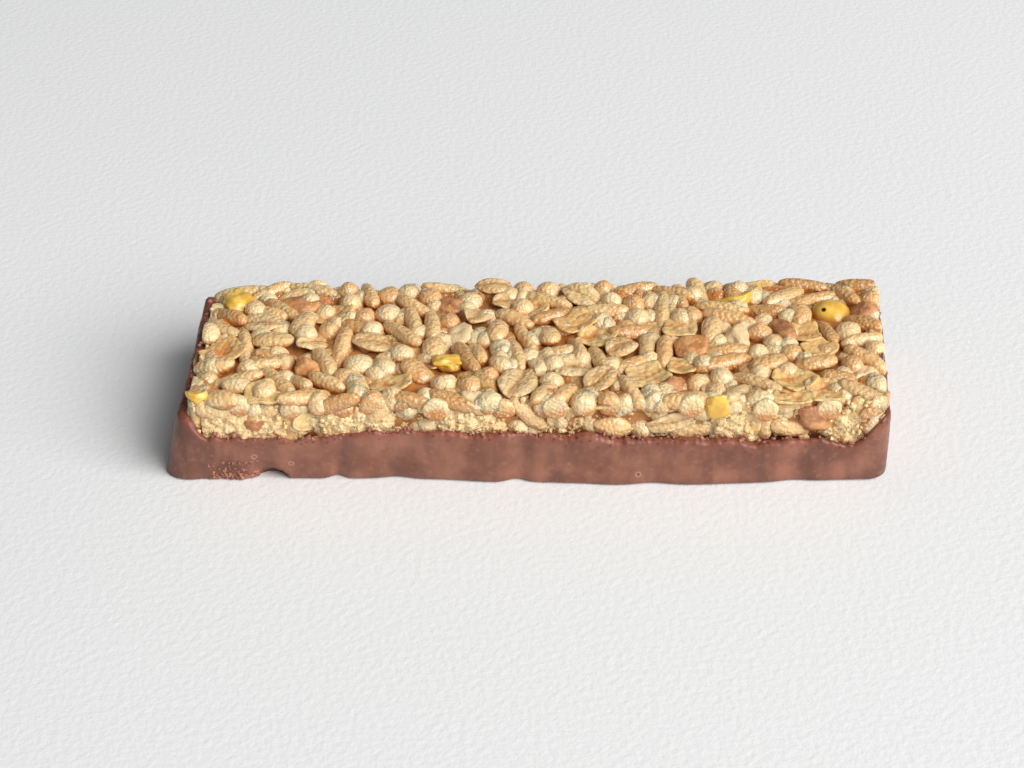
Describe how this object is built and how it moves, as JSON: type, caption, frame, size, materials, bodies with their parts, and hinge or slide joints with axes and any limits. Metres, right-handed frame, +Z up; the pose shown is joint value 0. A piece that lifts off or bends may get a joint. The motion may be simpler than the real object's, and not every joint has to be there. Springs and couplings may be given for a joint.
{
  "type": "cereal bar",
  "caption": "Flat bar of pressed puffed rice, crisp balls, oats, corn flakes and nut pieces on a milk chocolate base.",
  "frame": {"origin": "centre of the flat underside", "axes": "+X along the bar's length, -Y the long side that faces the viewer, +Z up through the pressed top"},
  "size_m": [0.1098, 0.0355, 0.0153],
  "materials": {
    "cereal": "pale golden puffed grains with an amber syrup glaze between them",
    "chocolate": "satin milk chocolate with soft ripples, small pits and scuffs"
  },
  "bodies": {
    "root": {"cereal_slab": "cereal", "chocolate_base": "chocolate"}
  },
  "joints": []
}
